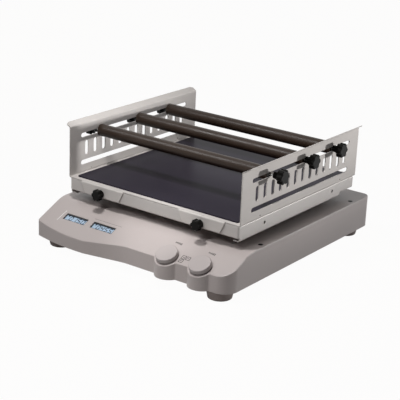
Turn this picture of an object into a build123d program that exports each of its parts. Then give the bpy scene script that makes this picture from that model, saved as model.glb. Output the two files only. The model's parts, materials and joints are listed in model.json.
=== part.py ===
from build123d import *
import math
import os

# Linear laboratory shaker: a moulded base with a sloping control panel carries a tray that slides from
# side to side. A bent-sheet frame stands on the tray, and three rubber-sleeved bars across it hold flasks.
# Millimetres, +Z up, origin on the bench below the middle of the base, front towards -Y.

os.makedirs("parts", exist_ok=True)

# Fits
touch_gap = 0.3
running_gap = 0.05
fixed_gap = 0.02

# Base housing
base_width = 374.0
base_depth = 425.0
foot_height = 15.0
housing_height = 52.5
housing_wall = 3.0
housing_edge_radius = 1.5
rear_corner_radius = 14.0
front_left_corner_radius = 4.0
front_right_corner_radius = 24.0
bow_radius = 358.0
bow_crest_margin = 92.0
bow_end_margin = 107.0
bow_blend_radius = 60.0
straight_start_margin = 179.0
straight_setback = 14.0
boss_radius = 21.8
boss_setback = 9.5
boss_blend_radius = 3.0

# Sloping control panel
panel_angle = 25.0
panel_depth = 81.5
panel_blend_radius = 60.0
window_length = 45.0
window_height = 14.0
window_corner_radius = 0.8
window_drop = 25.0
window_margins = (61.5, 118.5)
knob_drop = 39.5
knob_margins = (116.0, 54.0)

# Feet and bottom plate
foot_top_radius = 21.5
foot_bottom_radius = 18.5
foot_edge_radius = 1.5
foot_recess_radius = 6.0
foot_recess_depth = 5.0
foot_side_margin = 29.0
foot_front_margin = 36.5
foot_rear_margin = 28.0
bottom_plate_thickness = 2.0
vent_length = 46.0
vent_width = 4.0
vent_pitch = 10.0
vent_count = 6

# Screws
foot_screw_radius = 2.5
pan_head_radius = 4.5
pan_head_height = 3.0
housing_screw_radius = 2.0
housing_head_radius = 3.4
housing_head_height = 3.5
screw_column_radius = 6.0
column_side_margin = 9.3
column_front_margin = 107.9
column_rear_margin = 53.0
plug_radius = 4.2
plug_thickness = 3.0
plug_recess = 0.4
screw_well_depth = 8.0

# Platform tray
tray_size = 332.0
tray_rear_margin = 27.5
tray_rise = 36.5
tray_sheet = 1.5
tray_corner_radius = 3.0
tray_edge_radius = 2.0
skirt_height = 20.0
lip_width = 10.0
side_drop = 5.2
side_drop_rear_margin = 43.0
tray_hole_spread = 98.0
tray_hole_drop = 11.0
side_hole_radius = 2.6

# Attachment frame of bent sheet
frame_sheet = 1.5
frame_width = 337.0
frame_bend_radius = 1.5
plate_height = 83.5
flange_length = 11.0
flange_rise_angle = 30.0
flange_corner_length = 8.0
flange_corner_width = 4.0
fold_drop = 1.5
tab_top_width = 86.0
tab_bottom_width = 70.0
tab_drop = 18.0
slot_offset = -1.0
long_slot_length = 278.0
upper_slot_height = 7.4
upper_slot_level = 64.5
lower_slot_height = 8.0
lower_slot_level = 18.5
window_slot_count = 13
window_slot_pitch = 20.9
window_slot_width = 8.0
window_slot_bottom = 30.2
window_slot_top = 54.5
rivet_hole_radius = 1.2
rivet_hole_spread = 115.6
rivet_hole_level = 5.3
mat_size = 316.0
mat_thickness = 2.0
mat_corner_radius = 3.0

# Bars and their star knobs
bar_offsets = (-92.0, 6.0, 88.0)
bar_rod_radius = 3.0
sleeve_radius = 10.0
sleeve_edge_radius = 1.0
bar_head_radius = 12.0
bar_head_thickness = 9.5
bar_hub_radius = 5.5
bar_hub_length = 9.9
rod_thread_length = 15.0
bar_knob_offsets = (6.0, 0.0, 0.0)

# Thumb screws
thumb_head_radius = 9.4
thumb_head_thickness = 9.0
thumb_hub_radius = 5.0
thumb_hub_length = 6.0
thumb_shank_radius = 3.0
thumb_shank_length = 10.0
clearance_hole_radius = 3.3
weld_nut_radius = 5.5
weld_nut_thickness = 5.0

# Star knob form
star_lobes = 6
star_lobe_share = 0.36
star_edge = 1.2

# Carriage, guides and posts
shaft_radius = 6.0
shaft_rise = 21.0
shaft_spread = 85.0
shaft_half_length = 101.0
support_thickness = 14.0
support_width = 34.0
support_x = 94.0
bearing_radius = 10.5
bearing_length = 30.0
bearing_x = 55.0
block_length = 34.0
block_width = 32.0
block_drop = 12.0
block_rise = 15.0
carriage_thickness = 5.0
carriage_length = 160.0
carriage_width = 206.0
post_radius = 8.0
post_x = 65.0
post_spread = 50.0
post_screw_radius = 2.5
post_screw_length = 14.0
travel = 5.0
slot_margin = 2.0

# Drive
motor_mount_width = 90.0
motor_mount_thickness = 4.0
motor_radius = 36.0
motor_height = 14.0
motor_edge_radius = 2.0
motor_shaft_radius = 4.0
crank_radius = 20.0
crank_thickness = 6.0
crank_rise = 20.0
crank_throw = 5.0
crank_pin_radius = 3.0
roller_radius = 6.5
roller_height = 5.0
yoke_length = 44.0
yoke_width = 40.0
yoke_thickness = 8.0
yoke_play = 1.3
balance_hole_radius = 3.0
balance_circle_radius = 13.0

# Control panel parts
display_length = 50.0
display_width = 20.0
display_thickness = 5.0
display_gap = 0.2
board_thickness = 1.6
display_board_left_margin = 29.0
display_board_right_margin = 37.0
display_board_low = 46.0
display_board_high = 14.0
encoder_size = 11.0
encoder_gap = 0.2
encoder_bush_radius = 4.5
encoder_bush_rise = 0.6
knob_shaft_radius = 3.0
standoff_radius = 2.5
panel_standoff_left_margins = (32.5, 157.0)
panel_standoff_right_margins = (85.0, 41.0)
panel_standoff_drop = 30.0
control_knob_radius = 17.5
control_knob_height = 6.8
control_knob_gap = 2.0
control_knob_taper = 2.0
control_knob_edge = 1.2
control_knob_wall = 2.0
control_knob_hub_radius = 6.0

# Electronics on the bottom plate
control_board_size = (110.0, 48.0)
control_board_side_margin = 92.0
control_board_front_margin = 60.0
power_board_size = (110.0, 52.0)
power_board_offset = -35.0
power_board_rear_margin = 48.5
board_standoff_height = 6.0
board_standoff_inset = 5.0
# Parts on each board: place from its centre, length, width and height.
control_board_blocks = (
    (-34.0, 8.0, 22.0, 22.0, 4.0),
    (2.0, 10.0, 14.0, 14.0, 3.0),
    (36.0, 6.0, 20.0, 26.0, 14.0),
    (-20.0, -17.0, 50.0, 7.0, 9.0),
)
power_board_blocks = (
    (-22.0, 0.0, 40.0, 36.0, 28.0),
    (22.0, 12.0, 18.0, 18.0, 24.0),
    (24.0, -14.0, 36.0, 12.0, 18.0),
)

# Rear pocket with inlet and switch
pocket_side_margin = 87.0
pocket_length = 110.0
pocket_rise = 8.0
pocket_drop = 10.5
pocket_depth = 8.0
pocket_corner_radius = 3.0
inlet_side_margin = 112.0
inlet_body = (27.6, 20.0)
inlet_flange = (31.0, 24.0)
inlet_flange_thickness = 2.0
inlet_length = 22.0
inlet_socket = (24.5, 16.5)
inlet_socket_depth = 18.0
inlet_pin = (2.0, 4.0)
inlet_pin_length = 11.5
inlet_pin_spots = ((-7.0, 2.0), (0.0, -2.0), (7.0, 2.0))
switch_side_margin = 62.0
switch_body = (13.2, 20.4)
switch_flange = (16.0, 23.0)
switch_opening = (11.2, 18.2)
switch_length = 16.0
rocker_width = 10.6
rocker_half_height = 8.0
rocker_end_rise = 6.1
rocker_middle_rise = 5.0
rocker_depth = 3.0
rocker_pin_radius = 1.2
rocker_pin_half_length = 6.1
rocker_tilt = 8.0
rocker_pivot_depth = 5.5

# Places worked out from the sizes above
half_width = base_width / 2
rear_y = base_depth / 2
front_y = -base_depth / 2
bow_crest_x = bow_crest_margin - half_width
bow_end_x = bow_end_margin - half_width
straight_start_x = straight_start_margin - half_width
straight_y = front_y + straight_setback
boss_y = straight_y + boss_setback
plate_top = foot_height + bottom_plate_thickness
deck_height = foot_height + housing_height
deck_underside = deck_height - housing_wall
slope = math.radians(panel_angle)
panel_break_y = front_y + panel_depth
panel_top_y = panel_break_y - panel_blend_radius * math.sin(slope)
panel_top_z = deck_height - panel_blend_radius * (1 - math.cos(slope))
panel = Plane(
    origin=(0, panel_top_y, panel_top_z),
    x_dir=(1, 0, 0),
    z_dir=(0, -math.sin(slope), math.cos(slope)),
)
window_x = [margin - half_width for margin in window_margins]
knob_x = [half_width - margin for margin in knob_margins]
display_board_left = display_board_left_margin - half_width
display_board_right = half_width - display_board_right_margin
panel_standoff_x = [margin - half_width for margin in panel_standoff_left_margins]
panel_standoff_x += [half_width - margin for margin in panel_standoff_right_margins]
foot_x = half_width - foot_side_margin
foot_y = (front_y + foot_front_margin, rear_y - foot_rear_margin)
foot_places = [(sign * foot_x, y) for y in foot_y for sign in (-1, 1)]
column_x = half_width - column_side_margin
column_y = (front_y + column_front_margin, rear_y - column_rear_margin)
column_places = [(sign * column_x, y) for y in column_y for sign in (-1, 1)]
control_board_centre = (control_board_side_margin - half_width, front_y + control_board_front_margin)
power_board_centre = (power_board_offset, rear_y - power_board_rear_margin)
tray_y = rear_y - tray_rear_margin - tray_size / 2
tray_top = deck_height + tray_rise
tray_bottom = tray_top - skirt_height
hole_level = tray_top - tray_hole_drop
post_places = [(x, tray_y + y) for y in (-post_spread, post_spread) for x in (-post_x, post_x)]
shaft_height = plate_top + shaft_rise
block_bottom = shaft_height - block_drop
carriage_bottom = shaft_height + block_rise
carriage_top = carriage_bottom + carriage_thickness
crank_bottom = plate_top + crank_rise
post_height = tray_top - tray_sheet - carriage_top
plate_face = frame_width / 2
slot_y = tray_y + slot_offset
slot_centre_level = tray_top + upper_slot_level
bar_places = [tray_y + offset for offset in bar_offsets]
tab_inner = tray_size / 2 + touch_gap
tab_outer = tab_inner + frame_sheet
board_face = -(housing_wall + display_gap + display_thickness)
pocket_centre_x = half_width - pocket_side_margin
inlet_x = half_width - inlet_side_margin
switch_x = half_width - switch_side_margin
pocket_floor_y = rear_y - pocket_depth
pocket_bottom = foot_height + pocket_rise
pocket_top = deck_height - pocket_drop
pocket_centre_z = (pocket_bottom + pocket_top) / 2
pivot_y = pocket_floor_y + inlet_flange_thickness - rocker_pivot_depth

pieces = {}


def keep(name, builder):
    """Label a finished piece and set it aside under its node's name."""
    builder.part.label = name
    pieces[name] = builder.part


def bow_y(x):
    """Where the bowed part of the front wall lies at x."""
    return front_y + bow_radius - math.sqrt(bow_radius**2 - (x - bow_crest_x) ** 2)


def base_outline(inset):
    """The base seen from above: a bow on the left of the front wall, two knob bosses on the right."""
    boss_half_chord = math.sqrt(boss_radius**2 - boss_setback**2)
    corners = [
        (-half_width, bow_y(-half_width), front_left_corner_radius),
        (bow_end_x, bow_y(bow_end_x), bow_blend_radius),
        (straight_start_x, straight_y, bow_blend_radius),
        (half_width, straight_y, front_right_corner_radius),
        (half_width, rear_y, rear_corner_radius),
        (-half_width, rear_y, rear_corner_radius),
    ]
    with BuildSketch() as outline:
        with BuildLine():
            ThreePointArc(corners[0][:2], (bow_crest_x, front_y), corners[1][:2])
            Polyline(*[corner[:2] for corner in corners[1:]], corners[0][:2])
        make_face()
        for x, y, radius in corners:
            fillet(outline.vertices().sort_by_distance((x, y, 0))[0], radius)
        with Locations(*[(x, boss_y) for x in knob_x]):
            Circle(boss_radius)
        for x in knob_x:
            for side in (-1, 1):
                junction = (x + side * boss_half_chord, straight_y, 0)
                fillet(outline.vertices().sort_by_distance(junction)[0], boss_blend_radius)
        if inset:
            offset(amount=-inset)
    return outline.sketch


def base_form(inset):
    """The base's outer form, or the same form drawn in by a wall and open below."""
    top = deck_height - inset
    bottom = foot_height - inset
    radius = panel_blend_radius - inset
    centre_z = deck_height - panel_blend_radius
    reach = panel_depth + front_right_corner_radius

    def on_blend(angle):
        return (panel_break_y - radius * math.sin(angle), centre_z + radius * math.cos(angle))

    blend_end = on_blend(slope)
    front_end = (blend_end[0] - reach * math.cos(slope), blend_end[1] - reach * math.sin(slope))
    with BuildPart() as form:
        with BuildSketch(Plane.YZ):
            with BuildLine():
                Polyline(
                    blend_end,
                    front_end,
                    (front_end[0], bottom),
                    (rear_y, bottom),
                    (rear_y, top),
                    (panel_break_y, top),
                )
                ThreePointArc((panel_break_y, top), on_blend(slope / 2), blend_end)
            make_face()
        extrude(amount=half_width, both=True)
        with BuildSketch(Plane.XY.offset(bottom)):
            add(base_outline(inset))
        extrude(amount=deck_height, mode=Mode.INTERSECT)
    return form


def rim_edges(form):
    """Edges where the deck and the panel meet the side walls."""
    tops = form.faces().filter_by(lambda face: face.normal_at().Z > 0.5)
    edges = [edge for face in tops for edge in face.edges()]
    return [edge for edge in edges if sum(edge.is_same(other) for other in edges) == 1]


def make_housing():
    cavity = base_form(housing_wall)
    outer = base_form(0)
    pocket_size = (pocket_length, pocket_top - pocket_bottom)
    with BuildPart() as housing:
        add(outer.part)
        fillet(rim_edges(housing), housing_edge_radius)
        add(cavity.part, mode=Mode.SUBTRACT)
        # Screw columns reach down to the bottom plate.
        with BuildSketch(Plane.XY.offset(plate_top)):
            with Locations(*column_places):
                Circle(screw_column_radius)
        extrude(amount=deck_underside - plate_top)
        with BuildSketch(Plane.XY.offset(plate_top)):
            with Locations(*column_places):
                Circle(housing_screw_radius + running_gap)
        extrude(amount=deck_height - plate_top, mode=Mode.SUBTRACT)
        with BuildSketch(Plane.XY.offset(deck_height - screw_well_depth)):
            with Locations(*column_places):
                Circle(plug_radius + running_gap)
        extrude(amount=screw_well_depth, mode=Mode.SUBTRACT)
        # Slots in the deck for the tray's posts.
        with BuildSketch(Plane.XY.offset(deck_height)):
            with Locations(*post_places):
                SlotOverall(2 * (post_radius + travel + slot_margin), 2 * (post_radius + slot_margin))
        extrude(amount=-2 * housing_wall, mode=Mode.SUBTRACT)
        # Display windows and encoder holes through the sloping panel.
        with BuildSketch(panel):
            with Locations(*[(x, -window_drop) for x in window_x]):
                RectangleRounded(window_length, window_height, window_corner_radius)
            with Locations(*[(x, -knob_drop) for x in knob_x]):
                Circle(encoder_bush_radius + touch_gap)
        extrude(amount=-2 * housing_wall, mode=Mode.SUBTRACT)
        # Pocket in the rear wall for the inlet and the switch.
        with BuildSketch(Plane.XZ.offset(-rear_y)):
            with Locations((pocket_centre_x, pocket_centre_z)):
                Rectangle(pocket_size[0] + 2 * housing_wall, pocket_size[1] + 2 * housing_wall)
        extrude(amount=pocket_depth + housing_wall)
        with BuildSketch(Plane.XZ.offset(-rear_y)):
            with Locations((pocket_centre_x, pocket_centre_z)):
                RectangleRounded(*pocket_size, pocket_corner_radius)
        extrude(amount=pocket_depth, mode=Mode.SUBTRACT)
        with BuildSketch(Plane.XZ.offset(-rear_y)):
            with Locations((inlet_x, pocket_centre_z)):
                Rectangle(inlet_body[0] + touch_gap, inlet_body[1] + touch_gap)
            with Locations((switch_x, pocket_centre_z)):
                Rectangle(switch_body[0] + touch_gap, switch_body[1] + touch_gap)
        extrude(amount=pocket_depth + 2 * housing_wall, mode=Mode.SUBTRACT)
    keep("housing", housing)


def make_bottom():
    vent_rows = (-vent_length, vent_length)
    with BuildPart() as base_plate:
        with BuildSketch(Plane.XY.offset(foot_height)):
            add(base_outline(housing_wall + touch_gap))
            with Locations(*column_places):
                Circle(housing_screw_radius + running_gap, mode=Mode.SUBTRACT)
            with Locations(*foot_places):
                Circle(foot_screw_radius + running_gap, mode=Mode.SUBTRACT)
            with Locations(*[(x, power_board_centre[1]) for x in vent_rows]):
                with GridLocations(0, vent_pitch, 1, vent_count):
                    SlotOverall(vent_length, vent_width, mode=Mode.SUBTRACT)
        extrude(amount=bottom_plate_thickness)
    keep("base_plate", base_plate)

    with BuildPart() as foot:
        with BuildSketch(Plane.XZ):
            with BuildLine():
                Polyline(
                    (foot_recess_radius, 0),
                    (foot_bottom_radius, 0),
                    (foot_top_radius, foot_height),
                    (foot_screw_radius + running_gap, foot_height),
                    (foot_screw_radius + running_gap, foot_recess_depth),
                    (foot_recess_radius, foot_recess_depth),
                    close=True,
                )
            make_face()
        revolve(axis=Axis.Z)
        outer_rim = foot.edges().filter_by(GeomType.CIRCLE).group_by(Axis.Z)[0].sort_by(SortBy.RADIUS)[-1]
        fillet(outer_rim, foot_edge_radius)
    with BuildPart() as rubber_feet:
        with Locations(*[(x, y, 0) for x, y in foot_places]):
            add(foot.part)
    keep("rubber_feet", rubber_feet)

    with BuildPart() as foot_screws:
        with BuildSketch(Plane.XY.offset(foot_recess_depth)):
            with Locations(*foot_places):
                Circle(pan_head_radius)
        extrude(amount=-pan_head_height)
        with BuildSketch(Plane.XY.offset(foot_recess_depth)):
            with Locations(*foot_places):
                Circle(foot_screw_radius)
        extrude(amount=plate_top - foot_recess_depth)
    keep("foot_screws", foot_screws)

    well_floor = deck_height - screw_well_depth
    with BuildPart() as housing_screws:
        with BuildSketch(Plane.XY.offset(well_floor)):
            with Locations(*column_places):
                Circle(housing_head_radius)
        extrude(amount=housing_head_height)
        with BuildSketch(Plane.XY.offset(foot_height)):
            with Locations(*column_places):
                Circle(housing_screw_radius)
        extrude(amount=well_floor - foot_height)
    keep("housing_screws", housing_screws)

    with BuildPart() as deck_plugs:
        with BuildSketch(Plane.XY.offset(deck_height - plug_recess)):
            with Locations(*column_places):
                Circle(plug_radius)
        extrude(amount=-plug_thickness)
    keep("deck_plugs", deck_plugs)


def make_guides():
    with BuildPart() as guide_shafts:
        with BuildSketch(Plane.YZ.offset(-shaft_half_length)):
            with Locations(*[(tray_y + y, shaft_height) for y in (-shaft_spread, shaft_spread)]):
                Circle(shaft_radius)
        extrude(amount=2 * shaft_half_length)
    keep("guide_shafts", guide_shafts)

    support_top = shaft_height + bearing_radius
    with BuildPart() as shaft_supports:
        for x in (-support_x, support_x):
            with BuildSketch(Plane.YZ.offset(x - support_thickness / 2)):
                for y in (-shaft_spread, shaft_spread):
                    with Locations((tray_y + y, (plate_top + support_top) / 2)):
                        Rectangle(support_width, support_top - plate_top)
                    with Locations((tray_y + y, shaft_height)):
                        Circle(shaft_radius + fixed_gap, mode=Mode.SUBTRACT)
            extrude(amount=support_thickness)
    keep("shaft_supports", shaft_supports)

    with BuildPart() as bearing_blocks:
        for x in (-bearing_x, bearing_x):
            with BuildSketch(Plane.YZ.offset(x - block_length / 2)):
                for y in (-shaft_spread, shaft_spread):
                    with Locations((tray_y + y, (block_bottom + carriage_bottom) / 2)):
                        Rectangle(block_width, carriage_bottom - block_bottom)
                    with Locations((tray_y + y, shaft_height)):
                        Circle(bearing_radius + fixed_gap, mode=Mode.SUBTRACT)
            extrude(amount=block_length)
    keep("bearing_blocks", bearing_blocks)

    with BuildPart() as linear_bearings:
        for x in (-bearing_x, bearing_x):
            with BuildSketch(Plane.YZ.offset(x - bearing_length / 2)):
                with Locations(*[(tray_y + y, shaft_height) for y in (-shaft_spread, shaft_spread)]):
                    Circle(bearing_radius)
                    Circle(shaft_radius + running_gap, mode=Mode.SUBTRACT)
            extrude(amount=bearing_length)
    keep("linear_bearings", linear_bearings)


def make_carriage():
    with BuildPart() as carriage:
        with BuildSketch(Plane.XY.offset(carriage_bottom)):
            with Locations((0, tray_y)):
                RectangleRounded(carriage_length, carriage_width, tray_corner_radius)
                Circle(crank_radius, mode=Mode.SUBTRACT)
            with Locations(*post_places):
                Circle(post_screw_radius + fixed_gap, mode=Mode.SUBTRACT)
        extrude(amount=carriage_thickness)
    keep("carriage", carriage)

    slot_width = 2 * (roller_radius + yoke_play)
    slot_length = 2 * (roller_radius + yoke_play + crank_throw)
    with BuildPart() as drive_yoke:
        with BuildSketch(Plane.XY.offset(carriage_bottom)):
            with Locations((0, tray_y)):
                Rectangle(yoke_width + crank_throw, yoke_length)
                SlotOverall(slot_length, slot_width, rotation=90, mode=Mode.SUBTRACT)
        extrude(amount=-yoke_thickness)
    keep("drive_yoke", drive_yoke)

    with BuildPart() as platform_posts:
        with BuildSketch(Plane.XY.offset(carriage_top)):
            with Locations(*post_places):
                Circle(post_radius)
                Circle(post_screw_radius + fixed_gap, mode=Mode.SUBTRACT)
        extrude(amount=post_height)
    keep("platform_posts", platform_posts)

    with BuildPart() as tray_screw:
        with BuildSketch(Plane.XZ):
            with BuildLine():
                Polyline(
                    (0, 0),
                    (pan_head_radius, 0),
                    (post_screw_radius, -tray_sheet),
                    (post_screw_radius, -post_screw_length),
                    (0, -post_screw_length),
                    close=True,
                )
            make_face()
        revolve(axis=Axis.Z)
    with BuildPart() as tray_screws:
        with Locations(*[(x, y, tray_top) for x, y in post_places]):
            add(tray_screw.part)
    keep("tray_screws", tray_screws)

    with BuildPart() as carriage_screws:
        with BuildSketch(Plane.XY.offset(carriage_bottom)):
            with Locations(*post_places):
                Circle(pan_head_radius)
        extrude(amount=-pan_head_height)
        with BuildSketch(Plane.XY.offset(carriage_bottom)):
            with Locations(*post_places):
                Circle(post_screw_radius)
        extrude(amount=post_screw_length)
    keep("carriage_screws", carriage_screws)


def tray_form(inset):
    """The tray's outer block, or the same block drawn in by the sheet."""
    size = tray_size - 2 * inset
    with BuildPart() as form:
        with BuildSketch(Plane.XY.offset(tray_bottom + inset)):
            with Locations((0, tray_y)):
                RectangleRounded(size, size, tray_corner_radius - inset)
        extrude(amount=skirt_height - 2 * inset)
        ends = form.faces().filter_by(Axis.Z).edges()
        fillet(ends, tray_edge_radius - inset)
    return form.part


def make_tray():
    half_sheet = tray_sheet / 2
    side_bottom = tray_bottom - side_drop
    drop_end = tray_size / 2 - side_drop_rear_margin
    drop_length = tray_size / 2 - tray_corner_radius + drop_end
    drop_middle = tray_y + drop_end - drop_length / 2
    mouth = tray_size - 2 * lip_width
    with BuildPart() as platform_tray:
        add(tray_form(0))
        add(tray_form(tray_sheet), mode=Mode.SUBTRACT)
        with BuildSketch(Plane.XY.offset(tray_bottom)):
            with Locations((0, tray_y)):
                Rectangle(mouth, mouth)
            with Locations((0, drop_middle)):
                Rectangle(tray_size - 2 * tray_sheet, drop_length)
        extrude(amount=skirt_height / 2, mode=Mode.SUBTRACT)
        # The side skirts hang lower, from the front to near the rear corners.
        with BuildSketch(Plane.XZ.offset(-(tray_y + drop_end))):
            for side in (-1, 1):
                wall_x = side * (tray_size / 2 - half_sheet)
                with BuildLine() as fold:
                    FilletPolyline(
                        (wall_x, tray_bottom + 2 * tray_edge_radius),
                        (wall_x, side_bottom + half_sheet),
                        (wall_x - side * lip_width, side_bottom + half_sheet),
                        radius=tray_edge_radius,
                    )
                trace(fold.line, line_width=tray_sheet)
        extrude(amount=drop_length)
        with BuildSketch(Plane.XZ):
            with Locations(*[(x, hole_level) for x in (-tray_hole_spread, tray_hole_spread)]):
                Circle(clearance_hole_radius)
        extrude(amount=base_depth, both=True, mode=Mode.SUBTRACT)
        with BuildSketch(Plane.YZ):
            with Locations(*[(tray_y + y, hole_level) for y in (-tray_hole_spread, tray_hole_spread)]):
                Circle(side_hole_radius)
        extrude(amount=base_width, both=True, mode=Mode.SUBTRACT)
        with Locations(*[(x, y, tray_top) for x, y in post_places]):
            Cone(
                post_screw_radius + fixed_gap,
                pan_head_radius + fixed_gap,
                tray_sheet,
                align=(Align.CENTER, Align.CENTER, Align.MAX),
                mode=Mode.SUBTRACT,
            )
    keep("platform_tray", platform_tray)

    inner_face = tray_size / 2 - tray_sheet
    nut_spots = [(x, hole_level) for x in (-tray_hole_spread, tray_hole_spread)]
    with BuildPart() as weld_nuts:
        for side in (-1, 1):
            with BuildSketch(Plane.XZ.offset(-(tray_y + side * inner_face))):
                with Locations(*nut_spots):
                    RegularPolygon(weld_nut_radius, 6)
                    Circle(thumb_shank_radius + running_gap, mode=Mode.SUBTRACT)
            extrude(amount=side * weld_nut_thickness)
    keep("weld_nuts", weld_nuts)


def slot_pattern():
    """Long slots near the top and bottom of a side plate, with a row of upright slots between."""
    upright_height = window_slot_top - window_slot_bottom
    with BuildSketch(Plane.YZ.offset(-frame_width)) as pattern:
        with Locations((slot_y, slot_centre_level)):
            SlotOverall(long_slot_length, upper_slot_height)
        with Locations((slot_y, tray_top + lower_slot_level)):
            SlotOverall(long_slot_length, lower_slot_height)
        with Locations((slot_y, tray_top + (window_slot_top + window_slot_bottom) / 2)):
            with GridLocations(window_slot_pitch, 0, window_slot_count, 1):
                SlotOverall(upright_height, window_slot_width, rotation=90)
        for y in (-rivet_hole_spread, rivet_hole_spread):
            with Locations((tray_y + y, tray_top + rivet_hole_level)):
                Circle(rivet_hole_radius)
    return pattern.sketch


def make_attachment():
    half_sheet = frame_sheet / 2
    bend = frame_bend_radius + half_sheet
    plate_mid = plate_face - half_sheet
    floor_mid = tray_top + half_sheet
    crease = tray_top + plate_height
    rise = math.radians(flange_rise_angle)
    tip_x = plate_mid + flange_length * math.cos(rise)
    tip_z = crease + flange_length * math.sin(rise)
    with BuildPart() as attachment_frame:
        # Floor, side plates and flared flanges are one section, as long as the tray.
        with BuildSketch(Plane.XZ.offset(-(tray_y + tray_size / 2))):
            with BuildLine() as section:
                FilletPolyline(
                    (-tip_x, tip_z),
                    (-plate_mid, crease),
                    (-plate_mid, floor_mid),
                    (plate_mid, floor_mid),
                    (plate_mid, crease),
                    (tip_x, tip_z),
                    radius=bend,
                )
            trace(section.line, line_width=frame_sheet)
        extrude(amount=tray_size)
        extrude(slot_pattern(), amount=2 * frame_width, mode=Mode.SUBTRACT)
        # The flanges' corners are cut off at a slant.
        with BuildSketch(Plane.XY.offset(crease)):
            for side in (-1, 1):
                for end in (-1, 1):
                    corner_x = side * (tip_x + half_sheet)
                    corner_y = tray_y + end * tray_size / 2
                    with BuildLine():
                        Polyline(
                            (corner_x - side * flange_corner_width, corner_y),
                            (corner_x, corner_y - end * flange_corner_length),
                            (corner_x + side * flange_corner_width, corner_y),
                            close=True,
                        )
                    make_face()
        extrude(amount=2 * flange_length, mode=Mode.SUBTRACT)
        # Two tabs at the front and two at the rear bend down from the floor, over the tray.
        for end in (-1, 1):
            for x in (-tray_hole_spread, tray_hole_spread):
                with BuildSketch(Plane.YZ.offset(x - tab_top_width / 2)):
                    with BuildLine() as fold:
                        FilletPolyline(
                            (tray_y + end * (tray_size / 2 - bend), floor_mid),
                            (tray_y + end * (tab_inner + half_sheet), floor_mid),
                            (tray_y + end * (tab_inner + half_sheet), tray_top - fold_drop),
                            radius=bend,
                        )
                    trace(fold.line, line_width=frame_sheet)
                extrude(amount=tab_top_width)
        # Below its fold each tab is tapered.
        for end in (-1, 1):
            with BuildSketch(Plane.XZ.offset(-(tray_y + end * tab_inner))):
                for x in (-tray_hole_spread, tray_hole_spread):
                    with BuildLine():
                        Polyline(
                            (x - tab_top_width / 2, tray_top - fold_drop),
                            (x - tab_bottom_width / 2, tray_top - tab_drop),
                            (x + tab_bottom_width / 2, tray_top - tab_drop),
                            (x + tab_top_width / 2, tray_top - fold_drop),
                            close=True,
                        )
                    make_face()
                    with Locations((x, hole_level)):
                        Circle(clearance_hole_radius, mode=Mode.SUBTRACT)
            extrude(amount=-end * frame_sheet)
    keep("attachment_frame", attachment_frame)

    with BuildPart() as mat:
        with BuildSketch(Plane.XY.offset(tray_top + frame_sheet)):
            with Locations((0, tray_y)):
                RectangleRounded(mat_size, mat_size, mat_corner_radius)
        extrude(amount=mat_thickness)
    keep("mat", mat)


def star_outline(plane, radius):
    """The lobed outline of a star knob's grip."""
    lobe = star_lobe_share * radius
    with BuildSketch(plane) as grip:
        Circle(radius - lobe)
        with PolarLocations(radius - lobe, star_lobes):
            Circle(lobe)
        fillet(grip.vertices(), lobe / 2)
    return grip.sketch


def make_bars():
    sleeve_half = plate_face - frame_sheet - touch_gap
    rod_half = plate_face + rod_thread_length
    for place, bar_y, knob_offset in zip(("front", "middle", "rear"), bar_places, bar_knob_offsets):
        with BuildPart() as sleeve:
            with BuildSketch(Plane.YZ.offset(-sleeve_half)):
                with Locations((bar_y, slot_centre_level)):
                    Circle(sleeve_radius)
            extrude(amount=2 * sleeve_half)
            fillet(sleeve.edges().filter_by(GeomType.CIRCLE), sleeve_edge_radius)
            with BuildSketch(Plane.YZ.offset(-sleeve_half)):
                with Locations((bar_y, slot_centre_level)):
                    Circle(bar_rod_radius + fixed_gap)
            extrude(amount=2 * sleeve_half, mode=Mode.SUBTRACT)
        keep(f"{place}_bar_sleeve", sleeve)

        with BuildPart() as rod:
            with BuildSketch(Plane.YZ.offset(-rod_half)):
                with Locations((bar_y, slot_centre_level)):
                    Circle(bar_rod_radius)
            extrude(amount=2 * rod_half)
        keep(f"{place}_bar_rod", rod)

        for side, sign in (("left", -1), ("right", 1)):
            seat = Plane(
                origin=(sign * (plate_face + touch_gap + knob_offset), bar_y, slot_centre_level),
                x_dir=(0, 1, 0),
                z_dir=(sign, 0, 0),
            )
            with BuildPart() as bar_knob:
                with BuildSketch(seat):
                    Circle(bar_hub_radius)
                extrude(amount=bar_hub_length)
                grip = star_outline(seat.offset(bar_hub_length), bar_head_radius)
                extrude(grip, amount=bar_head_thickness)
                chamfer(bar_knob.faces().sort_by(Axis(seat.origin, seat.z_dir))[-1].edges(), star_edge)
                with BuildSketch(seat):
                    Circle(bar_rod_radius + running_gap)
                extrude(amount=rod_thread_length, mode=Mode.SUBTRACT)
            keep(f"{place}_bar_{side}_knob", bar_knob)


def make_thumb_screws():
    for place, end in (("front", -1), ("rear", 1)):
        for side, sign in (("left", -1), ("right", 1)):
            seat = Plane(
                origin=(sign * tray_hole_spread, tray_y + end * (tab_outer + touch_gap), hole_level),
                x_dir=(1, 0, 0),
                z_dir=(0, end, 0),
            )
            with BuildPart() as thumb_screw:
                with BuildSketch(seat):
                    Circle(thumb_hub_radius)
                extrude(amount=thumb_hub_length)
                grip = star_outline(seat.offset(thumb_hub_length), thumb_head_radius)
                extrude(grip, amount=thumb_head_thickness)
                chamfer(thumb_screw.faces().sort_by(Axis(seat.origin, seat.z_dir))[-1].edges(), star_edge)
                with BuildSketch(seat):
                    Circle(thumb_shank_radius)
                extrude(amount=-thumb_shank_length)
            keep(f"{place}_{side}_thumb_screw", thumb_screw)


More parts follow.
